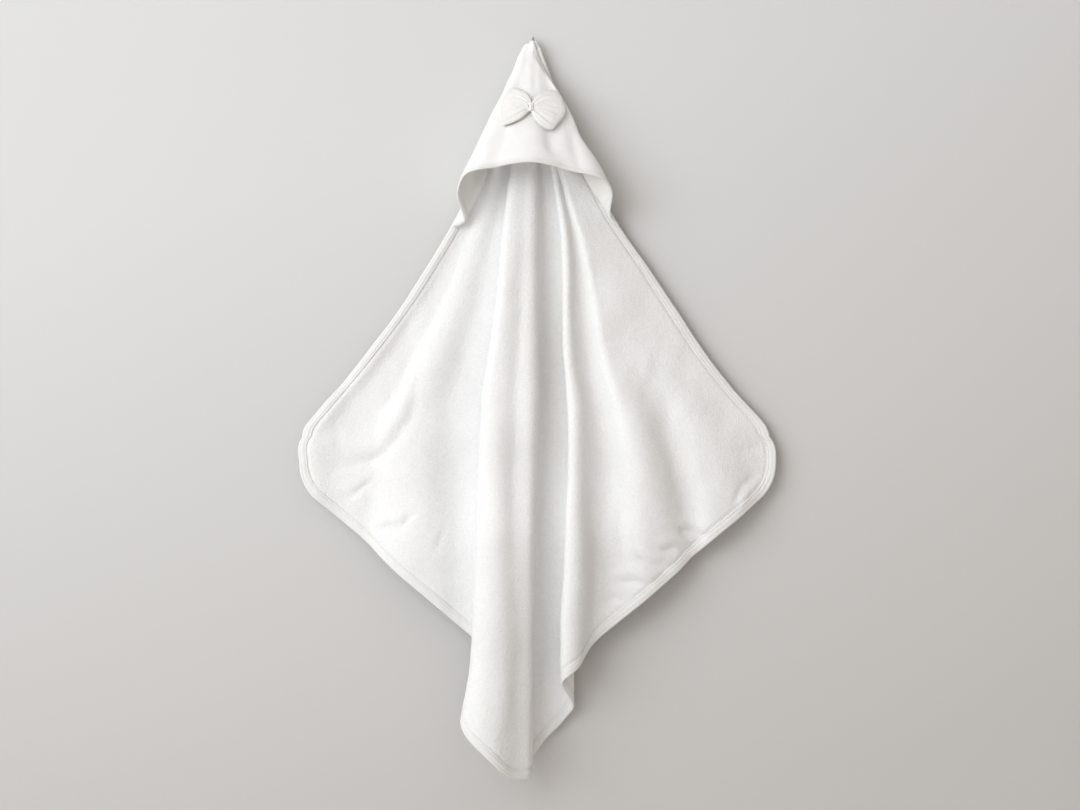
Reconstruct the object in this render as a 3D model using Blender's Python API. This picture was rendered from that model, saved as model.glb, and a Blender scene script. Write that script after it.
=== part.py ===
"""Hooded baby towel, hanging by the peak of its hood.

A square of terry with rounded corners hangs by one corner. A tape binds all four edges, a lined
triangular hood is sewn over the top corner, and a gauze bow is tacked to the hood.

Frame: metres, +Z up. The origin is the hanging point at the peak. The front faces -Y, and the wall
that the towel hangs against is just behind it, at +Y.

The cloth is described on the flat: t runs down the diagonal from the peak and s runs across it.
cloth_point(s, t) gives the place of that point of the cloth once it hangs in folds.
"""

import math

import bmesh
import bpy
from mathutils import Vector

# Driving dimensions of the cut cloth.
SIDE = 0.750
CORNER_RADIUS = 0.080
HOOD_SEAM = 0.283
BINDING_WIDTH = 0.010
TERRY_THICKNESS = 0.0034
BINDING_THICKNESS = 0.0046
HOOD_THICKNESS = 0.0014
LAYER_GAP = 0.0004
EDGE_GAP = 0.0020
RUN_GAP = 0.0012

# How it hangs.
CLOTH_BACK = -0.006
SIDE_DROP = 0.062
HOOD_STAND_OFF = 0.0044

# Derived sizes.
DIAGONAL = SIDE * math.sqrt(2)
HALF = DIAGONAL / 2
SIDE_REACH = HALF - CORNER_RADIUS * (math.sqrt(2) - 1)
HEM_DISTANCE = HOOD_SEAM / math.sqrt(2)

# Heading of the cloth across the towel, in degrees, from the left edge to the right edge. A minus
# sign turns towards the viewer. The deep pleat is left of the middle and the groove is right of it.
FOLDS = (
    (-1.00, 0), (-0.89, -16), (-0.79, 0), (-0.71, 20), (-0.65, 0), (-0.59, -18), (-0.50, 4),
    (-0.40, 10), (-0.33, -40), (-0.27, -84), (-0.20, -78), (-0.14, -12), (-0.05, 10), (0.0, 0),
    (0.05, 70), (0.10, 86), (0.15, 20), (0.20, -10), (0.25, -78), (0.30, -66), (0.34, 20),
    (0.39, 56), (0.43, 12), (0.48, -30), (0.53, -20), (0.59, 12), (0.65, 34), (0.72, 10),
    (0.78, -12), (0.87, 10), (1.00, 8),
)
SOFT_FOLD_ANGLE = 60
SECTION_STEPS = 240

# Where the two upper edges hang: (distance down the diagonal, sideways place).
LEFT_EDGE = ((0.0, -0.003), (0.03, -0.018), (0.1, -0.054), (0.18, -0.0985), (0.25, -0.1425),
             (0.32, -0.188), (0.40, -0.249), (0.46, -0.300), (0.486, -0.3185), (0.503, -0.323),
             (0.53, -0.3225))
RIGHT_EDGE = ((0.0, 0.004), (0.03, 0.019), (0.1, 0.055), (0.2, 0.1165), (0.254, 0.1565),
              (0.308, 0.193), (0.383, 0.243), (0.43, 0.280), (0.468, 0.3145), (0.486, 0.329),
              (0.503, 0.336), (0.53, 0.338))

# Directions from the peak to points round the hood, by angle on the flat from the middle.
HOOD_RIBS = (
    (-45, (-0.372, -0.028, -0.928)),
    (-31, (-0.388, -0.325, -0.862)),
    (0, (0.0, -0.410, -0.912)),
    (31, (0.400, -0.255, -0.880)),
    (45, (0.410, -0.020, -0.912)),
)

# Mesh fineness.
BODY_ROWS_ABOVE = 16
BODY_ROWS_BELOW = 26
BODY_COLUMNS = 38
HOOD_ROWS = 9
HOOD_COLUMNS = 18

# Bow.
BOW_RISE = 0.1185
BOW_WING_LENGTH = 0.0405
BOW_WING_ROOT = 0.0064
BOW_KNOT_RADIUS = 0.0056
BOW_WING_HALF_HEIGHT = 0.026
BOW_WING_DEPTH = 0.0050
BOW_KNOT_HALF_HEIGHT = 0.0085
BOW_STAND_OFF = 0.0096

# Hanging loop.
LOOP_INNER_WIDTH = 0.0070
LOOP_INNER_HEIGHT = 0.0110
LOOP_TAPE_THICKNESS = 0.0013
LOOP_TAPE_WIDTH = 0.0050
LOOP_TAIL = 0.020
LOOP_BACK = -0.0006


def clear_scene():
    for obj in list(bpy.data.objects):
        bpy.data.objects.remove(obj, do_unlink=True)


def make_material(name, colour, roughness):
    material = bpy.data.materials.new(name)
    material.use_nodes = True
    shader = material.node_tree.nodes["Principled BSDF"]
    shader.inputs["Base Color"].default_value = (*colour, 1.0)
    shader.inputs["Roughness"].default_value = roughness
    shader.inputs["Metallic"].default_value = 0.0
    return material


def smooth_step(low, high, value):
    share = min(max((value - low) / (high - low), 0.0), 1.0)
    return share * share * (3 - 2 * share)


def curve_through(points, value):
    """Catmull-Rom curve through (position, height) points."""
    value = min(max(value, points[0][0]), points[-1][0])
    index = max(i for i in range(len(points) - 1) if i == 0 or points[i][0] <= value)
    slopes = []
    for i in (index, index + 1):
        low = points[max(i - 1, 0)]
        high = points[min(i + 1, len(points) - 1)]
        slopes.append((high[1] - low[1]) / (high[0] - low[0]))
    (x0, y0), (x1, y1) = points[index], points[index + 1]
    u = (value - x0) / (x1 - x0)
    width = x1 - x0
    rise = (2 * u**3 - 3 * u**2 + 1) * y0 + (3 * u**2 - 2 * u**3) * y1
    return rise + width * ((u**3 - 2 * u**2 + u) * slopes[0] + (u**3 - u**2) * slopes[1])


# ---- The hanging cloth -------------------------------------------------------------------------


def heading(share, t):
    """Direction of the cloth across the towel, in radians, at a share of the half width."""
    folds = math.radians(curve_through(FOLDS, share))
    soft = -math.radians(SOFT_FOLD_ANGLE) * math.sin(2 * math.pi * share)
    soft *= smooth_step(0.02, 0.12, t)
    mix = smooth_step(0.12, 0.34, t)
    return folds * mix + soft * (1 - mix)


def section(t):
    """Points (s, x, y) of the cloth across the towel, at distance t down the diagonal."""
    reach = min(t, SIDE_REACH)
    step = 2 * reach / SECTION_STEPS
    x = y = 0.0
    line = []
    for index in range(SECTION_STEPS + 1):
        s = -reach + index * step
        if index:
            angle = heading((s - step / 2) / reach, t)
            x += math.cos(angle) * step
            y += math.sin(angle) * step
        line.append((s, x, y))
    middle_x = line[SECTION_STEPS // 2][1]
    left, right = line[0], line[-1]
    centre = -0.010 * min(t, 1.0)
    placed = []
    for s, x, y in line:
        end, edge = (left, LEFT_EDGE) if x < middle_x else (right, RIGHT_EDGE)
        spread = (curve_through(edge, t) - centre) / (end[1] - middle_x)
        slope = (x - left[1]) / (right[1] - left[1])
        behind = left[2] + (right[2] - left[2]) * slope
        placed.append((s, centre + (x - middle_x) * spread, y - behind + CLOTH_BACK))
    return placed


SECTIONS = {}


def cloth_point(s, t):
    """Where the point (s, t) of the flat cloth hangs."""
    key = round(t, 6)
    if key not in SECTIONS:
        SECTIONS[key] = section(t)
    line = SECTIONS[key]
    reach = line[-1][0]
    place = (min(max(s / reach, -1.0), 1.0) + 1) / 2 * SECTION_STEPS
    index = min(int(place), SECTION_STEPS - 1)
    share = place - index
    x = line[index][1] * (1 - share) + line[index + 1][1] * share
    y = line[index][2] * (1 - share) + line[index + 1][2] * share
    drop = SIDE_DROP * math.sin(math.pi / 2 * min(t / 0.26, 1.0))
    drop *= min(abs(s) / min(t, SIDE_REACH), 1.0) ** 1.6
    return Vector((x, y, -t - drop))


def outline(distance, inset=0.0):
    """Flat point (half width, t) on the right half of the outline, from the peak to the bottom."""
    upper = SIDE - CORNER_RADIUS
    arc = CORNER_RADIUS * math.pi / 2
    lower = SIDE - 2 * CORNER_RADIUS
    radius = CORNER_RADIUS - inset
    root = math.sqrt(0.5)
    if distance < upper:
        return distance * root - inset * root, distance * root + inset * root
    if distance < upper + arc:
        angle = (distance - upper) / CORNER_RADIUS - math.pi / 4
        centre = HALF - CORNER_RADIUS * math.sqrt(2)
        return centre + radius * math.cos(angle), HALF + radius * math.sin(angle)
    if distance < upper + arc + lower:
        rest = distance - upper - arc
        start_s = HALF - CORNER_RADIUS * root
        start_t = HALF + CORNER_RADIUS * root
        return start_s - (rest + inset) * root, start_t + (rest - inset) * root
    angle = (distance - upper - arc - lower) / CORNER_RADIUS + math.pi / 4
    centre = DIAGONAL - CORNER_RADIUS * math.sqrt(2)
    return radius * math.cos(angle), centre + radius * math.sin(angle)


UPPER_RUN = SIDE - CORNER_RADIUS + CORNER_RADIUS * math.pi / 4
OUTLINE_LENGTH = 2 * SIDE - 3 * CORNER_RADIUS + CORNER_RADIUS * math.pi * 3 / 4


def sheet_object(name, rows, thickness, material):
    """A sheet of even thickness through rows of points, closed by a rim."""
    mesh = bmesh.new()
    grid = [[mesh.verts.new(point) for point in row] for row in rows]
    for upper, lower in zip(grid, grid[1:]):
        for index in range(len(upper) - 1):
            mesh.faces.new((upper[index], lower[index], lower[index + 1], upper[index + 1]))
    data = bpy.data.meshes.new(name)
    mesh.to_mesh(data)
    mesh.free()
    data.shade_smooth()
    data.materials.append(material)
    obj = bpy.data.objects.new(name, data)
    bpy.context.collection.objects.link(obj)
    thick = obj.modifiers.new("Thickness", "SOLIDIFY")
    thick.thickness = thickness
    thick.offset = 0.0
    return obj


# ---- Towel body --------------------------------------------------------------------------------


def body_stations():
    """Distances along the outline at which the body has a row."""
    top = 0.030
    upper = [top + (UPPER_RUN - top) * i / BODY_ROWS_ABOVE for i in range(BODY_ROWS_ABOVE)]
    end = OUTLINE_LENGTH - CORNER_RADIUS * math.radians(12)
    lower = [UPPER_RUN + (end - UPPER_RUN) * i / BODY_ROWS_BELOW for i in range(BODY_ROWS_BELOW + 1)]
    return upper + lower


def make_body(material):
    rows = []
    for station in body_stations():
        half, t = outline(station, BINDING_WIDTH + EDGE_GAP)
        shares = [2 * i / BODY_COLUMNS - 1 for i in range(BODY_COLUMNS + 1)]
        rows.append([cloth_point(half * share, t) for share in shares])
    return sheet_object("towel_body_panel", rows, TERRY_THICKNESS, material)


def make_binding(name, side, start, end, material):
    """One run of the tape, between two distances along the outline."""
    stations = [start] + [d for d in body_stations() if start + 0.004 < d < end - 0.004] + [end]
    rows = []
    for inset in (0.0, BINDING_WIDTH / 2, BINDING_WIDTH):
        row = []
        for station in stations:
            half, t = outline(station, inset)
            row.append(cloth_point(side * half, t))
        rows.append(row)
    return sheet_object(name, rows, BINDING_THICKNESS, material)


def make_bindings(material):
    join = RUN_GAP / 2
    top = 0.014
    for word, side in (("left", -1), ("right", 1)):
        make_binding("binding_upper_" + word, side, top, UPPER_RUN - join, material)
        make_binding("binding_lower_" + word, side, UPPER_RUN + join, OUTLINE_LENGTH - join, material)


# ---- Hood --------------------------------------------------------------------------------------


def hood_direction(angle):
    """Unit vector from the peak to the hood, at an angle on the flat from its middle."""
    parts = []
    for axis in range(3):
        parts.append(curve_through([(rib, way[axis]) for rib, way in HOOD_RIBS], angle))
    return Vector(parts).normalized()


def hood_point(angle, radius, lift):
    """A point on the hood, lifted off its base surface along the outward normal."""
    way = hood_direction(angle)
    across = hood_direction(min(angle + 1, 45)) - hood_direction(max(angle - 1, -45))
    return way * radius + way.cross(across).normalized() * lift


def hood_rows(lift, hem_from, hem_to, count):
    """Rows across the hood between two distances from the peak, counted along its middle."""
    rows = []
    side_inset = BINDING_WIDTH + 0.003
    for i in range(count + 1):
        middle = hem_from + (hem_to - hem_from) * i / count
        row = []
        for j in range(HOOD_COLUMNS + 1):
            share = 2 * j / HOOD_COLUMNS - 1
            half = middle - side_inset * math.sqrt(2)
            s = share * half
            angle = math.degrees(math.atan2(s, middle))
            row.append(hood_point(angle, math.hypot(s, middle), lift))
        rows.append(row)
    return rows


def make_hood(outer, lining, binding):
    hem_top = HEM_DISTANCE - BINDING_WIDTH * 0.6
    first = 0.030
    lining_lift = HOOD_STAND_OFF
    outer_lift = lining_lift + HOOD_THICKNESS + LAYER_GAP
    middle_lift = (lining_lift + outer_lift) / 2
    rows = hood_rows(lining_lift, first, hem_top - EDGE_GAP, HOOD_ROWS)
    sheet_object("hood_lining", rows, HOOD_THICKNESS, lining)
    rows = hood_rows(outer_lift, first, hem_top - EDGE_GAP, HOOD_ROWS)
    sheet_object("hood_outer_panel", rows, HOOD_THICKNESS, outer)
    rows = hood_rows(middle_lift, hem_top, HEM_DISTANCE, 1)
    sheet_object("hood_hem_binding", rows, 2 * HOOD_THICKNESS + LAYER_GAP, binding)


# ---- Bow ---------------------------------------------------------------------------------------


def bow_frame():
    """Centre of the bow, and the unit vectors down and out of the hood there."""
    down = hood_direction(0)
    out = Vector((0, down.z, -down.y)).normalized()
    return down * BOW_RISE + out * (HOOD_STAND_OFF + BOW_STAND_OFF), down, out


def loft_object(name, rings, origin, material):
    """A closed body through rings of points, with capped ends and its origin at a point."""
    mesh = bmesh.new()
    loops = [[mesh.verts.new(point - origin) for point in ring] for ring in rings]
    for first, second in zip(loops, loops[1:]):
        for index in range(len(first)):
            after = (index + 1) % len(first)
            mesh.faces.new((first[index], first[after], second[after], second[index]))
    mesh.faces.new(loops[0][::-1])
    mesh.faces.new(loops[-1])
    bmesh.ops.recalc_face_normals(mesh, faces=mesh.faces)
    data = bpy.data.meshes.new(name)
    mesh.to_mesh(data)
    mesh.free()
    data.shade_smooth()
    data.materials.append(material)
    obj = bpy.data.objects.new(name, data)
    obj.location = origin
    bpy.context.collection.objects.link(obj)
    return obj


def make_bow_wing(name, side, droop, material):
    """One looped wing, narrow at the knot and full at its end."""
    centre, down, out = bow_frame()
    right = Vector((side, 0, 0))
    root = centre + right * BOW_WING_ROOT
    rings = []
    steps = 7
    for i in range(steps + 1):
        along = i / steps
        half = BOW_WING_HALF_HEIGHT * (0.22 + 0.78 * math.sin(math.pi * 0.54 * along))
        deep = BOW_WING_DEPTH * (0.45 + 0.55 * math.sin(math.pi * (0.1 + 0.8 * along)))
        middle = root + right * BOW_WING_LENGTH * along + down * droop * along**2
        ring = []
        for k in range(12):
            turn = 2 * math.pi * k / 12
            ring.append(middle + down * half * math.cos(turn) + out * deep * math.sin(turn))
        rings.append(ring)
    return loft_object(name, rings, centre, material)


def make_bow(gauze, thread):
    make_bow_wing("bow_wing_left", -1, 0.002, gauze)
    make_bow_wing("bow_wing_right", 1, 0.004, gauze)
    centre, down, out = bow_frame()
    rings = []
    for i in range(7):
        along = 2 * i / 6 - 1
        narrow = 1 - 0.15 * along**2
        ring = []
        for k in range(12):
            turn = 2 * math.pi * k / 12
            side = Vector((BOW_KNOT_RADIUS * narrow * math.cos(turn), 0, 0))
            ring.append(centre + down * BOW_KNOT_HALF_HEIGHT * along + side
                        + out * BOW_KNOT_RADIUS * narrow * math.sin(turn))
        rings.append(ring)
    loft_object("bow_centre_band", rings, centre, gauze)
    start = centre - out * (BOW_KNOT_RADIUS + LAYER_GAP)
    rings = []
    for depth in (0.0, 0.0008):
        ring = []
        for k in range(10):
            turn = 2 * math.pi * k / 10
            ring.append(start - out * depth + down * 0.004 * math.cos(turn)
                        + Vector((0.0022 * math.sin(turn), 0, 0)))
        rings.append(ring)
    loft_object("bow_tack_stitch", rings, start, thread)


# ---- Hanging loop ------------------------------------------------------------------------------


def loop_outline(grow):
    """Outline (x, z) of the loop of tape: a round top over straight legs and a sewn tail."""
    radius = LOOP_INNER_WIDTH / 2 + grow
    points = []
    for k in range(13):
        turn = math.pi * k / 12
        points.append((radius * math.cos(turn), radius * math.sin(turn) - LOOP_INNER_WIDTH / 2))
    bottom = -LOOP_INNER_HEIGHT if grow == 0 else -LOOP_INNER_HEIGHT - LOOP_TAIL
    points.append((-radius, bottom))
    points.append((radius, bottom))
    return points


def make_loop(material):
    mesh = bmesh.new()
    half = LOOP_TAPE_WIDTH / 2
    outer = loop_outline(LOOP_TAPE_THICKNESS)
    inner = loop_outline(0)
    count = len(outer)
    rings = []
    for y in (-half, half):
        rings.append([[mesh.verts.new((x, y + LOOP_BACK, z)) for x, z in line]
                      for line in (outer, inner)])
    for index in range(count):
        after = (index + 1) % count
        for (front, back, flip) in ((rings[0][0], rings[1][0], False), (rings[0][1], rings[1][1], True)):
            corners = (front[index], front[after], back[after], back[index])
            mesh.faces.new(corners[::-1] if flip else corners)
        for ring, flip in ((rings[0], True), (rings[1], False)):
            corners = (ring[0][index], ring[0][after], ring[1][after], ring[1][index])
            mesh.faces.new(corners[::-1] if flip else corners)
    bmesh.ops.recalc_face_normals(mesh, faces=mesh.faces)
    data = bpy.data.meshes.new("hanging_loop")
    mesh.to_mesh(data)
    mesh.free()
    data.materials.append(material)
    obj = bpy.data.objects.new("hanging_loop", data)
    bpy.context.collection.objects.link(obj)
    return obj


def main():
    clear_scene()
    terry = make_material("terry", (0.86, 0.86, 0.84), 0.95)
    tape = make_material("binding_tape", (0.87, 0.85, 0.79), 0.85)
    muslin = make_material("hood_cotton", (0.90, 0.89, 0.86), 0.85)
    lining = make_material("lining_cotton", (0.84, 0.82, 0.78), 0.90)
    gauze = make_material("bow_gauze", (0.89, 0.87, 0.80), 0.90)
    thread = make_material("thread", (0.86, 0.84, 0.78), 0.70)
    make_body(terry)
    make_bindings(tape)
    make_hood(muslin, lining, tape)
    make_bow(gauze, thread)
    make_loop(tape)


main()
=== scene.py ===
"""Looks of the hooded baby towel: fine cloth, tape, stitching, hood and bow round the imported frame."""
import math

import bpy
import numpy as np
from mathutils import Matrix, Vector


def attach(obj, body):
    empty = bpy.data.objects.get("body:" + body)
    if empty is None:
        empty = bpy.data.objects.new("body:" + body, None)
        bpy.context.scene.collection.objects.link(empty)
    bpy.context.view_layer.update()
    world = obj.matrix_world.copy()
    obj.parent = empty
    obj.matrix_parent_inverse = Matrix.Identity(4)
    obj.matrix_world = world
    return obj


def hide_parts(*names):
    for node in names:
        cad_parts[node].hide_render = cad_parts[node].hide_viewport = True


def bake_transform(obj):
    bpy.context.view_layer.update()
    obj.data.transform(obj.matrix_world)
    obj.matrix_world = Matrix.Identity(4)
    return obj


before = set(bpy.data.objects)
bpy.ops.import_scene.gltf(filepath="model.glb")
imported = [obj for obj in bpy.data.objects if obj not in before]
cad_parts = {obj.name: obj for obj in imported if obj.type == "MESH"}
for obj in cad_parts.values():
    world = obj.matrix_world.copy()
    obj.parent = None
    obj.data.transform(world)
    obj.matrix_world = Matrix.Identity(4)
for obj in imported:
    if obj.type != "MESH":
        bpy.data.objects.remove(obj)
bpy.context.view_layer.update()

# ---- The cut cloth, in metres, as in the CAD
# The flat cloth has two coordinates: t runs down the diagonal from the peak, and s across it.

SIDE = 0.750
CORNER_RADIUS = 0.080
HOOD_SEAM = 0.283
BINDING_WIDTH = 0.010
HALF_DIAGONAL = SIDE / math.sqrt(2)
SIDE_REACH = HALF_DIAGONAL - CORNER_RADIUS * (math.sqrt(2) - 1)
HEM_DISTANCE = HOOD_SEAM / math.sqrt(2)
HOOD_THICKNESS = 0.0014
LAYER_GAP = 0.0004

# ---- How the towel hangs

# How far the side corners hang below their flat place, and where the cloth stands off the wall.
SIDE_DROP = 0.062
CLOTH_BACK = -0.006
WALL_LIMIT = -0.001
WALL_SOFTNESS = 0.004

# Heading of the cloth across the towel, in degrees, against the share of its half width. A minus
# sign turns towards the viewer.
LEFT_FOLDS = (
    (-1, -15), (-0.965, -7), (-0.93, 9), (-0.89, 8), (-0.85, -6), (-0.79, -24), (-0.73, -15),
    (-0.67, -2), (-0.62, 10), (-0.575, 14), (-0.53, -4), (-0.49, -18), (-0.45, -14), (-0.41, 0),
    (-0.376, -24), (-0.343, -132), (-0.305, -154), (-0.228, -150), (-0.196, -76), (-0.168, -28),
    (-0.12, 2), (-0.075, 16), (-0.04, -14), (0, -4),
)
RIGHT_FOLDS = (
    (0, -4), (0.010, 26), (0.035, 78), (0.060, 92), (0.088, 84), (0.116, 14), (0.16, -4),
    (0.205, -24), (0.230, -82), (0.252, -116), (0.288, -114), (0.318, -36), (0.340, 32),
    (0.364, 64), (0.392, 40), (0.42, -2), (0.455, -24), (0.50, -26), (0.535, -8), (0.575, 10),
    (0.62, 19), (0.665, 4), (0.71, -10), (0.77, -2), (0.85, 8), (0.92, 8), (0.96, 2), (1, -4),
)
FOLDS = LEFT_FOLDS + RIGHT_FOLDS[1:]
# Change of heading on the face of the pleat, low down the towel.
LOW_FACE = (
    (-0.20, 0), (-0.178, -18), (-0.165, -27), (-0.15, -25), (-0.13, -11), (-0.11, 0), (-0.09, 11),
    (-0.07, 31), (-0.05, 61), (-0.03, 62), (-0.01, 48), (0.012, 34), (0.035, 8), (0.10, 6),
    (0.135, 44), (0.16, 18), (0.19, -30), (0.22, -6), (0.25, 0),
)
# Change of heading on the face of the pleat near the hood, where it is still flat.
HIGH_FACE = ((-0.17, 0), (-0.13, -8), (-0.10, -12), (-0.075, -16), (-0.05, -4), (-0.03, 0), (0, 0))
# Change of heading behind the right lip, low down the towel, in degrees.
LOW_LIP_ANGLE = 22
# Heading of the single soft fold at the peak, in degrees.
SOFT_FOLD_ANGLE = 60

# Where the folds above put the pleat's ridge, the right lip and the valley beyond it.
PLEAT_SHARE = -0.178
LIP_SHARE = 0.325
VALLEY_SHARE = 0.60
# The share of the half width at which each of them really lies, down the diagonal.
PLEAT_COURSE = ((0.0, 0.15), (0.2, 0.15), (0.35, 0.115), (0.5, 0.120), (0.7, 0.140), (0.8, 0.157),
                (0.88, 0.186), (0.95, 0.222), (1.1, 0.238))
LIP_COURSE = ((0.0, 0.41), (0.2, 0.41), (0.4, 0.34), (0.6, 0.325), (0.8, 0.345), (0.88, 0.375),
              (1.1, 0.38))
VALLEY_COURSE = ((0.0, 0.66), (0.4, 0.62), (0.5, 0.61), (0.6, 0.675), (0.7, 0.73), (1.1, 0.80))

# Where the left and right edges hang: the distance down the diagonal, and x.
LEFT_EDGE = ((0.0, -0.003), (0.03, -0.018), (0.1, -0.054), (0.18, -0.0985), (0.25, -0.1425), (0.32, -0.188),
             (0.40, -0.249), (0.46, -0.300), (0.486, -0.3215), (0.503, -0.3295), (0.53, -0.3255))
RIGHT_EDGE = ((0.0, 0.004), (0.03, 0.019), (0.1, 0.055), (0.2, 0.1165), (0.254, 0.1565), (0.308, 0.193),
              (0.383, 0.243), (0.43, 0.280), (0.468, 0.3145), (0.486, 0.329), (0.503, 0.339), (0.53, 0.3385))

# Size of the body's grid, and of the table of where its cloth hangs.
GRID = 211
TABLE_ROWS = 420
TABLE_COLUMNS = 1201
TABLE_START = 0.004
TABLE_END = 1.045
# Each side's folds are made deeper or flatter until its edge hangs in place.
LEAST_GAIN = 0.25
MOST_GAIN = 2.0
GAIN_STEPS = 16
GAIN_BLUR = 41

# ---- Small numeric helpers


def smooth_step(low, high, value):
    share = np.clip((value - low) / (high - low), 0.0, 1.0)
    return share * share * (3 - 2 * share)


def curve_through(points, value):
    """Catmull-Rom curve through (position, height) points, for an array of positions."""
    xs = np.array([p[0] for p in points], float)
    ys = np.array([p[1] for p in points], float)
    value = np.clip(value, xs[0], xs[-1])
    slopes = np.empty_like(ys)
    slopes[1:-1] = (ys[2:] - ys[:-2]) / (xs[2:] - xs[:-2])
    slopes[0] = (ys[1] - ys[0]) / (xs[1] - xs[0])
    slopes[-1] = (ys[-1] - ys[-2]) / (xs[-1] - xs[-2])
    index = np.clip(np.searchsorted(xs, value, side="right") - 1, 0, len(xs) - 2)
    width = xs[index + 1] - xs[index]
    u = (value - xs[index]) / width
    rise = (2 * u**3 - 3 * u**2 + 1) * ys[index] + (3 * u**2 - 2 * u**3) * ys[index + 1]
    lean = (u**3 - 2 * u**2 + u) * slopes[index] + (u**3 - u**2) * slopes[index + 1]
    return rise + width * lean


def unit(vectors):
    return vectors / np.maximum(np.linalg.norm(vectors, axis=-1, keepdims=True), 1e-12)


def value_noise(points, size, seed):
    """Smooth noise from -1 to 1 at points (..., d), with features of about a size."""
    cells = points / size
    base = np.floor(cells).astype(np.int64)
    part = cells - base
    part = part * part * (3 - 2 * part)
    dims = points.shape[-1]
    total = np.zeros(points.shape[:-1])
    for corner in range(2**dims):
        offset = np.array([(corner >> d) & 1 for d in range(dims)])
        cell = base + offset
        key = np.full(points.shape[:-1], seed * 7919 + 13, np.int64)
        weight = np.ones(points.shape[:-1])
        for d in range(dims):
            key = (key * 1664525 + cell[..., d] * 1013904223 + 374761393) & 0x7FFFFFFF
            key = (key ^ (key >> 13)) & 0x7FFFFFFF
            weight = weight * np.where(offset[d] == 1, part[..., d], 1 - part[..., d])
        key = (key * 1103515245 + 12345) & 0x7FFFFFFF
        total = total + weight * ((key >> 8) % 65536 / 32768 - 1)
    return total


# ---- The hanging cloth


def warp(share, t):
    """Fold coordinate of a share of the half width: it lets the pleat fan out down the towel."""
    shift = np.zeros_like(share) + t
    courses = (PLEAT_COURSE, LIP_COURSE, VALLEY_COURSE)
    pleat, lip, valley = (curve_through(course, shift) for course in courses)
    size = np.abs(share)
    beyond = 1 - (1 - size) * (1 + PLEAT_SHARE) / (1 - pleat)
    left = np.where(size < pleat, size * -PLEAT_SHARE / pleat, beyond)
    middle = LIP_SHARE + (size - lip) * (VALLEY_SHARE - LIP_SHARE) / (valley - lip)
    outer = 1 - (1 - size) * (1 - VALLEY_SHARE) / (1 - valley)
    right = np.where(size < lip, size * LIP_SHARE / lip, np.where(size < valley, middle, outer))
    return np.where(share < 0, -left, right)


def fold_headings(t, share):
    """Heading of the cloth in radians, and how far each side's gain changes it."""
    fold = warp(np.broadcast_to(share, (TABLE_ROWS, TABLE_COLUMNS)).copy(), t)
    low_face = curve_through(LOW_FACE, fold) * smooth_step(0.48, 0.92, t)
    high_face = curve_through(HIGH_FACE, fold) * (1 - smooth_step(0.26, 0.46, t))
    side_waves = 1 - (1 - smooth_step(0.40, 0.56, t)) * smooth_step(0.52, 0.57, fold)
    low_lip = LOW_LIP_ANGLE * smooth_step(0.58, 0.70, t) * smooth_step(0.34, 0.42, fold)
    low_lip = low_lip * (1 - smooth_step(0.52, 0.58, fold))
    angle = np.radians(curve_through(FOLDS, fold) * side_waves + low_face + high_face + low_lip)
    angle = angle * (0.72 + 0.28 * smooth_step(0.2, 0.5, t))
    soft = -math.radians(SOFT_FOLD_ANGLE) * np.sin(2 * math.pi * share) * smooth_step(0.02, 0.12, t)
    mix = smooth_step(0.07, 0.19, t)
    wing = smooth_step(0.36, 0.46, np.abs(fold)) * mix + (1 - mix)
    return angle * mix + soft * (1 - mix), wing


def build_table():
    """x and y of the cloth for every distance down the diagonal and share across it."""
    t = np.linspace(TABLE_START, TABLE_END, TABLE_ROWS)[:, None]
    share = np.linspace(-1, 1, TABLE_COLUMNS)[None, :]
    heading, wing = fold_headings(t, share)
    centre = -0.011 * np.minimum(t, 1.0)
    middle = TABLE_COLUMNS // 2
    step = np.minimum(t, SIDE_REACH) * (share[0, 1] - share[0, 0])

    def walked(slope):
        """Distance gone along each row, from its middle."""
        paces = np.cumsum((slope[:, 1:] + slope[:, :-1]) / 2 * step, 1)
        gone = np.concatenate([np.zeros((TABLE_ROWS, 1)), paces], 1)
        return gone - gone[:, middle:middle + 1]

    def hang(gains):
        side_gain = np.where(share < 0, gains[:, :1], gains[:, 1:])
        bend = heading * (1 + (side_gain - 1) * wing)
        return walked(np.cos(bend)) + centre, walked(np.sin(bend))

    want = np.stack([curve_through(LEFT_EDGE, t[:, 0]), curve_through(RIGHT_EDGE, t[:, 0])], 1)
    low, high = np.full((TABLE_ROWS, 2), LEAST_GAIN), np.full((TABLE_ROWS, 2), MOST_GAIN)
    for _ in range(GAIN_STEPS):
        gain = (low + high) / 2
        x, y = hang(gain)
        wide = np.stack([x[:, 0] < want[:, 0], x[:, -1] > want[:, 1]], 1)
        low, high = np.where(wide, gain, low), np.where(wide, high, gain)
    kernel = np.hanning(GAIN_BLUR)
    kernel /= kernel.sum()
    for column in range(2):
        padded = np.pad(gain[:, column], GAIN_BLUR // 2, mode="edge")
        gain[:, column] = np.convolve(padded, kernel, mode="valid")
    x, y = hang(gain)
    for side, column in ((0, 0), (1, -1)):
        miss = want[:, side:side + 1] - x[:, column][:, None]
        chosen = (share < 0) if side == 0 else (share > 0)
        x = np.where(chosen, x + miss * smooth_step(0.0, 1.0, np.abs(share)), x)
    slope = (x - x[:, :1]) / (x[:, -1:] - x[:, :1])
    behind = y[:, :1] + (y[:, -1:] - y[:, :1]) * slope
    flatter = 1 - 0.19 * smooth_step(0.50, 0.80, t)
    y = (y - behind) * flatter + CLOTH_BACK
    y = WALL_LIMIT - WALL_SOFTNESS * np.log1p(np.exp((WALL_LIMIT - y) / WALL_SOFTNESS))
    return t[:, 0], x, y


TABLE_T, TABLE_X, TABLE_Y = build_table()


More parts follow.
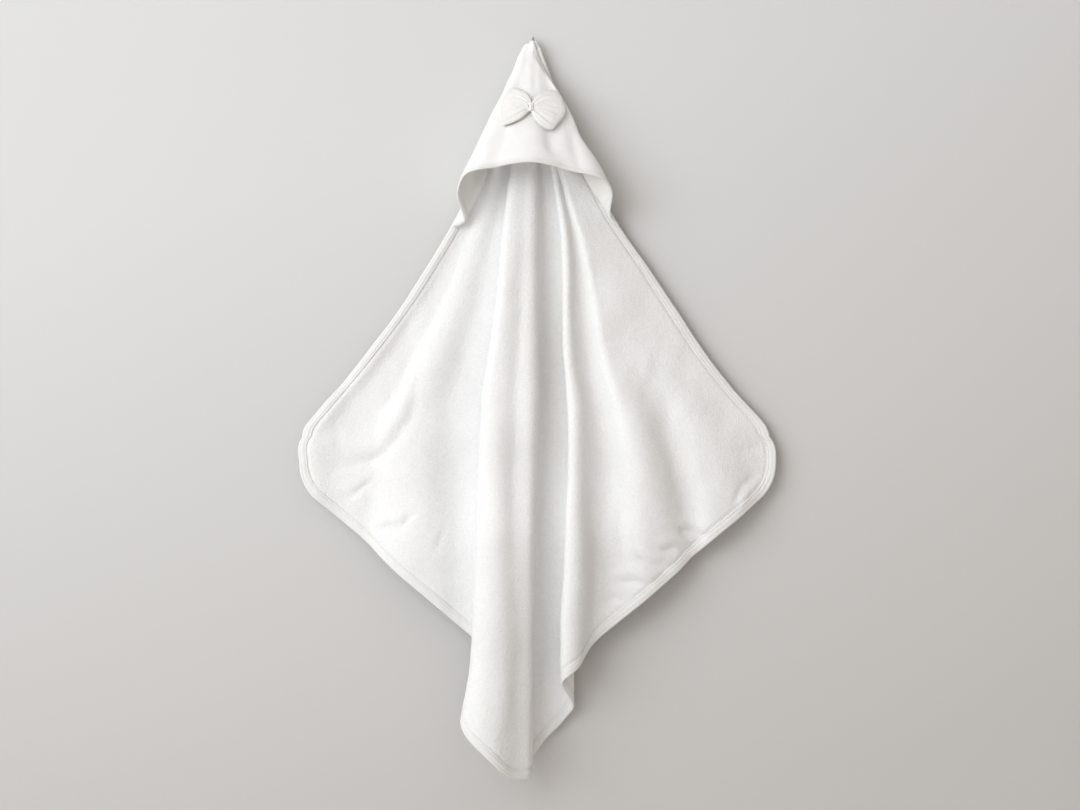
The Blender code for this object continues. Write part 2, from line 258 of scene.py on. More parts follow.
def between(row, column, *tables):
    """Values of each table at places between its rows and columns."""
    i, j = row.astype(int), column.astype(int)
    found = []
    for table in tables:
        extra = (1,) * (table.ndim - 2)
        a, b = (row - i).reshape(row.shape + extra), (column - j).reshape(row.shape + extra)
        upper = table[i, j] * (1 - b) + table[i, j + 1] * b
        lower = table[i + 1, j] * (1 - b) + table[i + 1, j + 1] * b
        found.append(upper * (1 - a) + lower * a)
    return found


def cloth_points(s, t):
    """Where points of the flat cloth hang: arrays s and t give an array (..., 3)."""
    reach = np.minimum(t, SIDE_REACH)
    row = np.clip((t - TABLE_T[0]) / (TABLE_T[1] - TABLE_T[0]), 0, TABLE_ROWS - 1.001)
    column = np.clip((s / reach + 1) / 2 * (TABLE_COLUMNS - 1), 0, TABLE_COLUMNS - 1.001)
    x, y = between(row, column, TABLE_X, TABLE_Y)
    drop = SIDE_DROP * np.sin(math.pi / 2 * np.minimum(t / 0.26, 1.0))
    drop = drop * np.minimum(np.abs(s) / np.minimum(t, SIDE_REACH), 1.0) ** 1.6
    return np.stack([x, y, -t - drop], -1)


def differences(shape, s, t, step):
    """How much shape(s, t) changes from a step before a flat place to a step after it."""
    return shape(s + step, t) - shape(s - step, t), shape(s, t + step) - shape(s, t - step)


def ring_to_flat(u, v):
    """Flat (s, t) of a point of the square grid [-1, 1]^2, with its rings rounded at the corners."""
    a = SIDE / 2
    x, y = u * a, v * a
    ring = np.maximum(np.abs(x), np.abs(y))
    radius = np.maximum(CORNER_RADIUS - (a - ring), 0)
    along = np.where(np.abs(x) >= np.abs(y), np.abs(y), np.abs(x))
    excess = np.maximum(along - (ring - radius), 0)
    turn = np.where(radius > 0, excess / np.maximum(radius, 1e-9), 0) * math.pi / 4
    far = ring - radius + radius * np.cos(turn)
    near = np.minimum(along, ring - radius) + radius * np.sin(turn)
    at_peak = (x < 0) & (y < 0)
    far = np.where(at_peak, ring, far)
    near = np.where(at_peak, along, near)
    wide = np.abs(x) >= np.abs(y)
    fx = np.where(wide, far, near) * np.sign(x)
    fy = np.where(wide, near, far) * np.sign(y)
    return (fx - fy) / math.sqrt(2), (fx + fy) / math.sqrt(2) + HALF_DIAGONAL


def grid_normals(points):
    """Normals of a grid of points."""
    du = np.gradient(points, axis=1)
    dv = np.gradient(points, axis=0)
    return unit(np.cross(du, dv))


def grid_line():
    """Grid places from -1 to 1, closer together beside the edges."""
    near = np.array([0, 2.4, 4.8, 7.2, 9.6, 11.2, 13.0, 15.2, 18.0, 21.2]) / 1000
    inner = np.linspace(0.0247, SIDE / 2, (GRID + 1) // 2 - len(near))
    half = np.concatenate([near, inner]) / (SIDE / 2) - 1
    return np.concatenate([half, -half[-2::-1]])


LINE = grid_line()
GRID_U, GRID_V = np.meshgrid(LINE, LINE)
FLAT_S, FLAT_T = ring_to_flat(GRID_U, GRID_V)
GRID_PLACES = np.arange(GRID)


# Small creases in the flat cloth: width, depth (a minus is a ridge) and the (s, t) points along it.
CREASES = (
    (0.0085, 0.0029, ((-0.443, 0.543), (-0.394, 0.546), (-0.371, 0.541), (-0.354, 0.526),
                      (-0.336, 0.506), (-0.322, 0.481), (-0.300, 0.43))),
    (0.0140, -0.0020, ((-0.492, 0.520), (-0.470, 0.515), (-0.440, 0.515))),
    (0.0125, -0.0022, ((-0.457, 0.513), (-0.419, 0.528), (-0.385, 0.531), (-0.366, 0.513),
                       (-0.345, 0.491), (-0.329, 0.466), (-0.310, 0.42))),
    (0.0100, 0.0020, ((-0.370, 0.481), (-0.338, 0.456), (-0.31, 0.40))),
    (0.0050, 0.0026, ((-0.436, 0.594), (-0.420, 0.590), (-0.405, 0.581), (-0.390, 0.577))),
    (0.0065, -0.0010, ((-0.440, 0.580), (-0.412, 0.573), (-0.390, 0.566))),
    (0.0075, 0.0017, ((-0.455, 0.546), (-0.425, 0.550), (-0.395, 0.549), (-0.372, 0.542))),
    (0.0050, 0.0034, ((-0.383, 0.648), (-0.365, 0.645), (-0.346, 0.650), (-0.333, 0.638),
                      (-0.323, 0.633))),
    (0.0065, -0.0018, ((-0.383, 0.637), (-0.360, 0.634), (-0.340, 0.636))),
    (0.0060, 0.0014, ((-0.301, 0.692), (-0.292, 0.682), (-0.285, 0.66))),
    (0.0050, 0.0022, ((0.433, 0.605), (0.448, 0.573), (0.471, 0.553))),
    (0.0060, -0.0020, ((0.443, 0.605), (0.455, 0.582))),
    (0.0050, 0.0010, ((0.439, 0.526), (0.478, 0.516))),
    (0.0055, 0.0040, ((0.350, 0.652), (0.372, 0.650), (0.398, 0.655))),
    (0.0070, -0.0026, ((0.350, 0.638), (0.374, 0.636), (0.405, 0.642))),
    (0.0050, 0.0030, ((0.322, 0.684), (0.345, 0.676), (0.372, 0.678))),
    (0.0065, -0.0020, ((0.318, 0.672), (0.345, 0.664), (0.375, 0.666))),
    (0.0050, 0.0034, ((0.286, 0.695), (0.310, 0.703), (0.340, 0.706))),
    (0.0065, -0.0020, ((0.288, 0.684), (0.312, 0.692), (0.345, 0.694))),
    (0.0050, 0.0036, ((0.262, 0.735), (0.288, 0.731), (0.315, 0.733))),
    (0.0070, -0.0022, ((0.258, 0.722), (0.288, 0.717), (0.320, 0.720))),
    (0.0050, 0.0030, ((0.245, 0.766), (0.262, 0.758), (0.282, 0.760))),
    (0.0080, 0.0024, ((0.260, 0.62), (0.262, 0.66), (0.273, 0.702))),
)


def crease_depth(s, t):
    """Depth of all the creases at flat places of the cloth."""
    total = np.zeros_like(s)
    for width, depth, line in CREASES:
        nearest = np.full(s.shape, 1.0)
        fade = np.zeros_like(s)
        count = len(line) - 1
        for k in range(count):
            (s0, t0), (s1, t1) = line[k], line[k + 1]
            length2 = (s1 - s0) ** 2 + (t1 - t0) ** 2
            along = np.clip(((s - s0) * (s1 - s0) + (t - t0) * (t1 - t0)) / length2, 0, 1)
            gap = np.hypot(s - s0 - along * (s1 - s0), t - t0 - along * (t1 - t0))
            whole = (k + along) / count
            ends = smooth_step(-0.1, 0.3, whole) * smooth_step(-0.1, 0.3, 1 - whole)
            fade = np.where(gap < nearest, ends, fade)
            nearest = np.minimum(nearest, gap)
        total = total + depth * fade * np.exp(-(nearest / width) ** 2)
    return total


def cloth_offset(s, t):
    """Small waves and creases of the cloth: the height above the main folds."""
    long_folds = np.stack([s, t * 0.30], -1)
    short_folds = np.stack([s + 0.3 * t, t - 0.3 * s], -1)
    waves = value_noise(long_folds, 0.046, 5) * 0.0021 + value_noise(long_folds, 0.021, 6) * 0.0007
    waves = waves + value_noise(short_folds, 0.030, 7) * 0.0006
    return waves * smooth_step(0.22, 0.40, t) - crease_depth(s, t)


def hang_body():
    """Points and forward normals of the body's grid, with its small waves and creases."""
    s, t, step = FLAT_S, np.maximum(FLAT_T, 0.0075), 0.003
    east, south = (change / (2 * step) for change in differences(cloth_points, s, t, step))
    front = unit(np.cross(south, east))
    points = cloth_points(s, np.maximum(FLAT_T, TABLE_START)) + front * cloth_offset(s, t)[..., None]
    slope_east, slope_south = (change / (2 * step) for change in differences(cloth_offset, s, t, step))
    lean_east = east * (slope_east / (east**2).sum(-1))[..., None]
    lean_south = south * (slope_south / (south**2).sum(-1))[..., None]
    return points, unit(front - (lean_east + lean_south))


BODY_POINTS, BODY_NORMALS = hang_body()


def on_body(u, v):
    """Points and forward normals of the hanging body at grid places u, v."""
    row = np.clip(np.interp(v, LINE, GRID_PLACES), 0, GRID - 1.0001)
    column = np.clip(np.interp(u, LINE, GRID_PLACES), 0, GRID - 1.0001)
    points, normals = between(row, column, BODY_POINTS, BODY_NORMALS)
    return points, unit(normals)


# ---- Meshes


def place_object(name, data):
    obj = bpy.data.objects.new(name, data)
    bpy.context.collection.objects.link(obj)
    return obj


def mesh_object(name, points, faces, material, flat=None):
    """A smooth mesh. flat is each point's place on the cut cloth, which the materials read."""
    data = bpy.data.meshes.new(name)
    data.from_pydata(np.asarray(points).tolist(), [], faces)
    data.update()
    data.shade_smooth()
    data.materials.append(material)
    if flat is not None:
        layer = data.attributes.new("cloth", "FLOAT_VECTOR", "POINT")
        layer.data.foreach_set("vector", np.asarray(flat, np.float32).ravel())
    return place_object(name, data)


def grid_faces(rows, columns, offset=0, flip=False):
    """Four-sided faces of a grid whose first point is number offset."""
    i, j = np.meshgrid(np.arange(rows - 1), np.arange(columns - 1), indexing="ij")
    a = (i * columns + j + offset).ravel()
    faces = np.stack([a, a + columns, a + columns + 1, a + 1], 1)
    return faces[:, ::-1] if flip else faces


def thick_sheet(name, points, normals, front, back, material, flat):
    """A closed sheet: a grid of points lifted by front and lowered by back along its normals."""
    rows, columns = points.shape[:2]
    upper = (points + normals * front[..., None]).reshape(-1, 3)
    lower = (points - normals * back[..., None]).reshape(-1, 3)
    count = rows * columns
    faces = [grid_faces(rows, columns), grid_faces(rows, columns, count, flip=True)]
    index = np.arange(count).reshape(rows, columns)
    rim = np.concatenate([index[0, :-1], index[:-1, -1], index[-1, :0:-1], index[:0:-1, 0]])
    after = np.roll(rim, -1)
    faces.append(np.stack([rim, after, after + count, rim + count], 1))
    cloth = np.concatenate([flat.reshape(-1, 3)] * 2)
    faces = np.concatenate(faces).tolist()
    obj = mesh_object(name, np.concatenate([upper, lower]), faces, material, cloth)
    return outward(obj)


def outward(obj):
    """Turns the faces of a closed mesh out."""
    data = obj.data
    count = len(data.vertices)
    points = np.empty(count * 3)
    data.vertices.foreach_get("co", points)
    points = points.reshape(-1, 3)
    data.calc_loop_triangles()
    tris = np.empty(len(data.loop_triangles) * 3, np.int32)
    data.loop_triangles.foreach_get("vertices", tris)
    a, b, c = (points[tris.reshape(-1, 3)[:, k]] for k in range(3))
    if np.einsum("ij,ij->i", a, np.cross(b, c)).sum() < 0:
        data.flip_normals()
    return obj


def tube(name, rings, material, flat=None):
    """A closed body through rings of points, array (count, around, 3)."""
    count, around = rings.shape[:2]
    i, j = np.meshgrid(np.arange(count - 1), np.arange(around), indexing="ij")
    a = (i * around + j).ravel()
    b = (i * around + (j + 1) % around).ravel()
    faces = np.stack([a, b, b + around, a + around], 1).tolist()
    faces.append(list(range(around))[::-1])
    faces.append(list(range((count - 1) * around, count * around)))
    obj = mesh_object(name, rings.reshape(-1, 3), faces, material, flat)
    return outward(obj)


def stitches(name, points, forward, normal, length, radius, material):
    """A row of stitches: one small capsule at each point, lying along forward."""
    across = np.cross(forward, normal)
    stations = ((-0.5, 0.25), (-0.42, 0.8), (-0.2, 1.0), (0.2, 1.0), (0.42, 0.8), (0.5, 0.25))
    around = 6
    rings = []
    for along, fat in stations:
        sink = -abs(along) ** 2 * radius * 3.0
        for k in range(around):
            turn = 2 * math.pi * k / around
            rings.append(points + forward * (along * length)
                         + normal * (sink + radius * fat * math.sin(turn))
                         + across * (radius * fat * math.cos(turn)))
    cloud = np.stack(rings, 1)
    per = len(stations) * around
    faces = []
    for r in range(len(stations) - 1):
        for k in range(around):
            n = (k + 1) % around
            faces.append((r * around + k, r * around + n, (r + 1) * around + n, (r + 1) * around + k))
    quads = np.array(faces)
    caps = [list(range(around))[::-1], [per - around + k for k in range(around)]]
    every = (quads[None] + per * np.arange(len(points))[:, None, None]).reshape(-1, 4).tolist()
    for n in range(len(points)):
        every += [[per * n + k for k in cap] for cap in caps]
    return outward(mesh_object(name, cloud.reshape(-1, 3), every, material))


# ---- Materials

TERRY_COLOUR = (0.90, 0.90, 0.898)
TAPE_COLOUR = (0.89, 0.885, 0.868)
HOOD_COLOUR = (0.90, 0.90, 0.897)
LINING_COLOUR = (0.88, 0.87, 0.84)
GAUZE_COLOUR = (0.95, 0.945, 0.925)
THREAD_COLOUR = (0.88, 0.865, 0.82)
NAIL_COLOUR = (0.42, 0.41, 0.40)
FLOOR_COLOUR = (0.72, 0.72, 0.71)
# Painted light on the wall: its lit colour at the top, and its painted shade, darker and warmer, towards the
# bottom.
WALL_SHADE_COLOUR = (0.565, 0.548, 0.532)
WALL_LIT_COLOUR = (0.665, 0.665, 0.66)
WARM_LIGHT = (1.0, 0.84, 0.72)
PALE_LIGHT = (1.0, 0.965, 0.94)


def new_material(name, colour, roughness, sheen):
    material = bpy.data.materials.new(name)
    material.use_nodes = True
    shader = material.node_tree.nodes["Principled BSDF"]
    shader.inputs["Base Color"].default_value = (*colour, 1)
    shader.inputs["Roughness"].default_value = roughness
    shader.inputs["Sheen Weight"].default_value = sheen
    shader.inputs["Sheen Roughness"].default_value = 0.5
    shader.inputs["Specular IOR Level"].default_value = 0.2
    return material


def add(material, kind, **settings):
    node = material.node_tree.nodes.new(kind)
    for key, value in settings.items():
        setattr(node, key, value)
    return node


def join(material, source, target):
    material.node_tree.links.new(source, target)


def cloth_place(material):
    """The place on the cut cloth, in metres."""
    node = add(material, "ShaderNodeAttribute", attribute_name="cloth", attribute_type="GEOMETRY")
    return node.outputs["Vector"]


def noise(material, place, scale, detail):
    node = add(material, "ShaderNodeTexNoise")
    node.inputs["Scale"].default_value = scale
    node.inputs["Detail"].default_value = detail
    join(material, place, node.inputs["Vector"])
    return node.outputs["Fac"]


def ramp(material, source, low, high, dark, light):
    node = add(material, "ShaderNodeMapRange")
    node.inputs["From Min"].default_value = low
    node.inputs["From Max"].default_value = high
    node.inputs["To Min"].default_value = dark
    node.inputs["To Max"].default_value = light
    join(material, source, node.inputs["Value"])
    return node.outputs["Result"]


def mix_colours(material, factor, low, high):
    node = add(material, "ShaderNodeMix", data_type="RGBA")
    node.inputs[6].default_value = (*low, 1)
    node.inputs[7].default_value = (*high, 1)
    join(material, factor, node.inputs[0])
    return node.outputs[2]


def shade(material, colour, *factors):
    """Base colour times each factor."""
    shader = material.node_tree.nodes["Principled BSDF"]
    current = factors[0]
    for factor in factors[1:]:
        times = add(material, "ShaderNodeMath", operation="MULTIPLY")
        join(material, current, times.inputs[0])
        join(material, factor, times.inputs[1])
        current = times.outputs[0]
    mix = add(material, "ShaderNodeMix", data_type="RGBA", blend_type="MULTIPLY")
    mix.inputs["Factor"].default_value = 1.0
    mix.inputs[6].default_value = (*colour, 1)
    join(material, current, mix.inputs[7])
    join(material, mix.outputs[2], shader.inputs["Base Color"])


def bump(material, height, distance, before=None):
    """Normals bumped by a height, on top of an earlier bump if there is one."""
    node = add(material, "ShaderNodeBump")
    node.inputs["Strength"].default_value = 1.0
    node.inputs["Distance"].default_value = distance
    join(material, height, node.inputs["Height"])
    if before is not None:
        join(material, before, node.inputs["Normal"])
    return node.outputs["Normal"]


def terry_material():
    """Terry: loops of pile in clumps, with painted shade between the loops and a broad faint change of tone.
    """
    material = new_material("terry_pile", TERRY_COLOUR, 0.95, 0.25)
    shader = material.node_tree.nodes["Principled BSDF"]
    place = cloth_place(material)
    loops = add(material, "ShaderNodeTexVoronoi", feature="F1", distance="EUCLIDEAN")
    loops.inputs["Scale"].default_value = 620
    join(material, place, loops.inputs["Vector"])
    clumps = noise(material, place, 190, 3)
    broad = noise(material, place, 14, 2)
    # Painted shade: the colour darkens between the loops of pile, where the bump is lowest.
    painted_pile_shade = ramp(material, loops.outputs["Distance"], 0.1, 0.75, 1.0, 0.93)
    tone = ramp(material, clumps, 0.3, 0.7, 0.98, 1.01)
    wide = ramp(material, broad, 0.3, 0.7, 0.985, 1.01)
    shade(material, TERRY_COLOUR, painted_pile_shade, tone, wide)
    rise = ramp(material, loops.outputs["Distance"], 0.0, 0.8, 1.0, 0.0)
    first = bump(material, clumps, 0.0007)
    join(material, bump(material, rise, 0.00036, first), shader.inputs["Normal"])
    return material


def weave_material(name, colour, thread, relief, sheen=0.15, rough=0.85):
    """Plain weave: two crossed waves over the cut cloth, with uneven threads and painted shade in the gaps
    between them.
    """
    material = new_material(name, colour, rough, sheen)
    shader = material.node_tree.nodes["Principled BSDF"]
    place = cloth_place(material)
    waves = []
    for direction in ("X", "Y"):
        wave = add(material, "ShaderNodeTexWave", wave_type="BANDS", bands_direction=direction)
        wave.inputs["Scale"].default_value = 1 / thread * 0.31
        wave.inputs["Distortion"].default_value = 0.6
        wave.inputs["Detail"].default_value = 1
        wave.inputs["Detail Scale"].default_value = 2
        join(material, place, wave.inputs["Vector"])
        waves.append(wave.outputs["Fac"])
    most = add(material, "ShaderNodeMath", operation="MAXIMUM")
    join(material, waves[0], most.inputs[0])
    join(material, waves[1], most.inputs[1])
    slub = noise(material, place, 60, 4)
    tone = ramp(material, slub, 0.3, 0.7, 0.975, 1.01)
    # Painted shade: the colour darkens in the gaps between the threads, where the bump is lowest.
    painted_thread_shade = ramp(material, most.outputs[0], 0.2, 1.0, 0.94, 1.0)
    shade(material, colour, tone, painted_thread_shade)
    first = bump(material, slub, relief * 2.5)
    join(material, bump(material, most.outputs[0], relief, first), shader.inputs["Normal"])
    return material


# ---- Body and edge tape

TAPE_WIDTH = 0.0114
TAPE_HALF = 0.0019
TAPE_GAP = 0.0009
TAPE_STEP = 0.0027
STITCH_STEP = 0.0034
STITCH_INSET = 0.0090
STITCH_LIFT = 0.00145
# The tape and its stitches start this far from the peak, under the hood.
TAPE_START = 0.012
STITCH_START = 0.016


def make_body(material):
    """The terry: a sheet that thins under the tape, with a soft lumpy pile."""
    distance = (1 - np.maximum(np.abs(GRID_U), np.abs(GRID_V))) * SIDE / 2
    flat = np.stack([FLAT_S, FLAT_T, np.zeros_like(FLAT_S)], -1)
    lump = value_noise(flat[..., :2], 0.011, 1) * 0.00022
    lump = lump + value_noise(flat[..., :2], 0.005, 2) * 0.00016
    half = 0.0006 + 0.0014 * smooth_step(0.0128, 0.0158, distance)
    puff = smooth_step(0.010, 0.020, distance)
    front = half + lump * puff
    back = half + value_noise(flat[..., :2] + 3.0, 0.008, 3) * 0.0002 * puff
    body = thick_sheet("towel_terry", BODY_POINTS, BODY_NORMALS, front, back, material, flat)
    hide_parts("towel_body_panel")
    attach(body, "towel")


def border_path(step, start):
    """Grid places round the border, down the left side and back up the right one, past start."""
    run = np.linspace(-1, 1, int(SIDE / step))
    left = [(-1.0, v) for v in run]
    bottom = [(u, 1.0) for u in run[1:]]
    right = [(1.0, v) for v in run[::-1][1:]]
    top = [(u, -1.0) for u in run[::-1][1:]]
    path = np.array(left + bottom + right + top)
    return path[np.abs(path + 1).max(1) > start / (SIDE / 2)]


def inset_place(path, inset):
    """Grid places at a flat distance straight in from the border places of the path."""
    half, core = SIDE / 2, SIDE / 2 - CORNER_RADIUS
    x, y = path[:, 0] * half, path[:, 1] * half
    wide = np.abs(x) >= np.abs(y)
    along = np.where(wide, y, x)
    far = np.where(wide, x, y)
    size = np.abs(along)
    bent = core + (size - core) * (CORNER_RADIUS - inset) / CORNER_RADIUS
    rounded = np.where(size > core, bent, size)
    near_peak = (along < 0) & (far < 0)
    near = np.sign(along) * np.where(near_peak, np.minimum(size, half - inset), rounded)
    far = far - np.sign(far) * inset
    return np.where(wide, far, near) / half, np.where(wide, near, far) / half


def border_points(path, inset):
    """Points and normals of the body at an inset from its border. A minus lies outside it."""
    u, v = inset_place(path, max(inset, 0.0))
    points, normals = on_body(u, v)
    if inset < 0:
        u, v = inset_place(path, 0.004)
        points = points + unit(points - on_body(u, v)[0]) * -inset
    return points, normals


def folded_tape(name, section, points_at, run, material):
    """A tape folded over an edge. points_at(inset) gives points and normals along the edge."""
    rings, flats = [], []
    for inset, lift in section:
        points, normals = points_at(inset)
        rings.append(points + normals * lift)
        flats.append(np.stack([run, np.full_like(run, inset), np.full_like(run, lift)], -1))
    return tube(name, np.stack(rings, 1), material, np.stack(flats, 1))


def tape_section(width, half, gap):
    """Cross-section of a folded tape with two sewn grooves: (inset, lift) round a U."""
    front = [(width, half * 0.62), (width - 0.0003, half * 0.95), (width * 0.86, half),
             (width * 0.79, half * 0.68), (width * 0.72, half), (width * 0.50, half * 1.05),
             (width * 0.34, half), (width * 0.27, half * 0.78), (width * 0.20, half),
             (0.0006, half * 0.80), (-0.0007, half * 0.45)]
    back = [(inset, -lift) for inset, lift in front[::-1]]
    inside = [(width, -gap), (width * 0.4, -gap), (0.0012, 0.0), (width * 0.4, gap), (width, gap)]
    return front + [(-0.0011, 0.0)] + back + inside


def run_along(points):
    """Distance gone along a line at each of its points."""
    return np.concatenate([[0], np.cumsum(np.linalg.norm(np.diff(points, axis=0), axis=1))])


def make_edge_tape(material, thread):
    path = border_path(TAPE_STEP, TAPE_START)
    run = run_along(on_body(path[:, 0], path[:, 1])[0])
    section = tape_section(TAPE_WIDTH, TAPE_HALF, TAPE_GAP)
    tape = folded_tape("edge_tape", section, lambda inset: border_points(path, inset), run, material)
    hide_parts("binding_upper_left", "binding_upper_right",
                "binding_lower_left", "binding_lower_right")
    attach(tape, "towel")
    points, normals = border_points(border_path(STITCH_STEP, STITCH_START), STITCH_INSET)
    forward = unit(np.gradient(points, axis=0))
    for word, sign in (("front", 1), ("back", -1)):
        places = points + normals * sign * STITCH_LIFT
        row = stitches("edge_stitches_" + word, places, forward, normals * sign, 0.0027, 0.00026, thread)
        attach(row, "towel")


# ---- Hood

# Ribs of the hood's cone: the flat angle from the middle in degrees, and the way the rib runs.
HOOD_RIBS = (
    (-45, (-0.372, -0.028, -0.928)),
    (-31, (-0.388, -0.325, -0.862)),
    (-17, (-0.222, -0.372, -0.901)),
    (0, (0.0, -0.410, -0.912)),
    (17, (0.222, -0.330, -0.917)),
    (31, (0.400, -0.255, -0.880)),
    (45, (0.410, -0.020, -0.912)),
)
# Furrows of the hood: the flat line (s0, r0, s1, r1), its width and its depth (a minus is a ridge).
HOOD_DENTS = (
    ((0.001, 0.014, 0.002, 0.088), 0.0055, 0.0013),
    ((0.024, 0.120, 0.030, 0.180), 0.0110, 0.0026),
    ((0.045, 0.120, 0.060, 0.185), 0.0130, -0.0016),
    ((0.064, 0.140, 0.082, 0.198), 0.0075, 0.0014),
    ((-0.030, 0.135, -0.050, 0.195), 0.0180, -0.0010),
    ((-0.012, 0.030, -0.020, 0.075), 0.0060, -0.0008),
    ((-0.085, 0.170, -0.105, 0.198), 0.0080, 0.0010),
)
HOOD_STAND_OFF = 0.0044
SEAM_START = 0.006
SEAM_PROBE = 0.002
# The hood runs from its sewn sides, which lie on the towel's edges, to its hemmed front.
HEM_STITCH_INSET = 0.0040
HEM_STITCH_LIFT = 0.00172
HEM_STITCH_STEP = 0.0032


def hood_direction(angle):
    """Unit direction of the hood's cone at a flat angle in degrees from its middle."""
    parts = [curve_through(tuple((rib, way[axis]) for rib, way in HOOD_RIBS), angle) for axis in range(3)]
    return unit(np.stack(parts, -1))


def dent(s, r, line, width, depth):
    """Depth of a soft furrow along a flat line (s0, r0, s1, r1), fading at its ends."""
    s0, r0, s1, r1 = line
    length = math.hypot(s1 - s0, r1 - r0)
    ds, dr = (s1 - s0) / length, (r1 - r0) / length
    along = ((s - s0) * ds + (r - r0) * dr) / length
    off = (s - s0) * dr - (r - r0) * ds
    fade = smooth_step(-0.15, 0.2, along) * (1 - smooth_step(0.8, 1.15, along))
    return depth * fade * np.exp(-(off / width) ** 2)


def hood_half(r):
    """Half width of the hood at a flat distance r from the peak."""
    inset = (BINDING_WIDTH + 0.003) * math.sqrt(2)
    reach = 1 - 0.80 * smooth_step(0.155, 0.198, r)
    return r - inset * (1 - np.exp(-r / inset)) * reach


def hood_surface(share, r, lift):
    """Points of the hood at a share of its half width and a flat distance r."""
    r = r + 0.007 * smooth_step(0.72, 1.0, np.abs(share)) * smooth_step(0.12, 0.20, r)
    half = hood_half(r)
    s = share * half
    angle = np.degrees(np.arctan2(s, r))
    radius = np.hypot(s, r)
    tip = (1 - smooth_step(0.05, 0.12, r)) * (share < 0)
    angle = angle * (1 - tip) + share * 43 * tip
    way = hood_direction(angle)
    blunt = 1 + 0.75 * np.exp(-(radius / 0.030) ** 2)
    way = np.stack([np.where(s < 0, way[..., 0] * blunt, way[..., 0]), way[..., 1], way[..., 2]], -1)
    across = hood_direction(np.minimum(angle + 1, 45)) - hood_direction(np.maximum(angle - 1, -45))
    normal = unit(np.cross(hood_direction(angle), across))
    ease = 1 - smooth_step(0.0, 0.012, (half - np.abs(s)))
    raised = lift + HOOD_STAND_OFF - ease * 0.002
    for line, width, depth in HOOD_DENTS:
        raised = raised - dent(s, r, line, width, depth)
    flat = np.stack([s, r], -1)
    raised = raised + value_noise(flat, 0.045, 11) * 0.0011 * smooth_step(0.02, 0.10, r)
    raised = raised + value_noise(flat, 0.018, 12) * 0.00035
    cone = way * radius[..., None] + normal * raised[..., None]
    t = np.maximum(r, SEAM_START)
    seam = cloth_points(s, t)
    east, south = differences(cloth_points, s, t, SEAM_PROBE)
    front = unit(np.cross(south, east))
    front = np.where(front[..., 1:2] > 0, -front, front)
    distance = (half - np.abs(s)) / math.sqrt(2)
    over_tape = 0.0014 * smooth_step(0.150, 0.175, r)
    seam = seam + front * (0.0030 + over_tape + lift + distance * 0.5)[..., None]
    weight = 1 - smooth_step(0.001, 0.016 + 0.02 * smooth_step(0.05, 0.15, r), distance)
    near_tip = 1 - smooth_step(0.02, 0.30, 1 - np.abs(share))
    weight = np.where(share < 0, np.minimum(weight, near_tip), weight)[..., None]
    return cone * (1 - weight) + seam * weight


def hood_grid(rows, columns, first, last, lift):
    """Points, normals and flat places of one layer of the hood."""
    share = np.sin(np.linspace(-1, 1, columns) * math.pi / 2)[None, :] * np.ones((rows, 1))
    share = 0.6 * share + 0.4 * np.linspace(-1, 1, columns)[None, :]
    start = first + 0.010 * np.maximum(-share, 0)
    r = start + (last - start) * np.linspace(0, 1, rows)[:, None]
    points = hood_surface(share, r, np.full_like(r, lift))
    normals = grid_normals(points)
    if normals[rows // 2, columns // 2, 1] > 0:
        normals = -normals
    return points, normals, np.stack([share * hood_half(r), r, np.zeros_like(r)], -1)


def make_hood(outer, lining, tape, thread):
    for name, lift, material, node, slot in (
        ("hood_cotton", HOOD_THICKNESS + LAYER_GAP, outer, "hood_outer_panel", "hood_cotton"),
        ("hood_lining_cloth", 0.0, lining, "hood_lining", "lining_cotton"),
    ):
        points, normals, places = hood_grid(110, 161, 0.005, HEM_DISTANCE - 0.0012, lift)
        half = np.full(points.shape[:2], 0.0006)
        panel = thick_sheet(name, points, normals, half, half, material, places)
        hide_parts(node)
        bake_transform(panel)
    share = np.linspace(-1, 1, 221)
    middle = (HOOD_THICKNESS + LAYER_GAP) / 2

    def hem_at(inset):
        r = np.full_like(share, HEM_DISTANCE - inset)
        here = hood_surface(share, r, np.full_like(share, middle))
        up = hood_surface(share, r - 0.003, np.full_like(share, middle))
        side = np.gradient(here, axis=0)
        normal = unit(np.cross(here - up, side))
        return here, oriented(normal)

    section = tape_section(0.0056, 0.0020, 0.00165)
    hem = folded_tape("hood_hem_tape", section, hem_at, share * 0.2, tape)
    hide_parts("hood_hem_binding")
    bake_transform(hem)
    points, normals = hem_at(HEM_STITCH_INSET)
    length = run_along(points)
    steps = np.arange(0.004, length[-1] - 0.004, HEM_STITCH_STEP)
    points = np.stack([np.interp(steps, length, points[:, k]) for k in range(3)], -1)
    normals = unit(np.stack([np.interp(steps, length, normals[:, k]) for k in range(3)], -1))
    forward = unit(np.gradient(points, axis=0))
    places = points + normals * HEM_STITCH_LIFT
    row = stitches("hood_hem_stitches", places, forward, normals, 0.0025, 0.00024, thread)
    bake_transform(row)


def oriented(normal):
    """Normals along a line turned so that neighbours agree and the middle one faces the viewer."""
    middle = len(normal) // 2
    signs = np.ones(len(normal))
    for k in range(1, len(normal)):
        signs[k] = signs[k - 1] * (1 if np.dot(normal[k], normal[k - 1]) >= 0 else -1)
    turned = normal * signs[:, None]
    return turned if turned[middle, 1] < 0 else -turned


# ---- Bow

BOW_DOWN = np.array((0.0, -0.41003, -0.91207))
BOW_OUT = np.array((0.0, -0.91207, 0.41003))
BOW_CENTRE = np.array((-0.0022, 0.0, 0.0)) + BOW_DOWN * 0.1185 + BOW_OUT * 0.0117
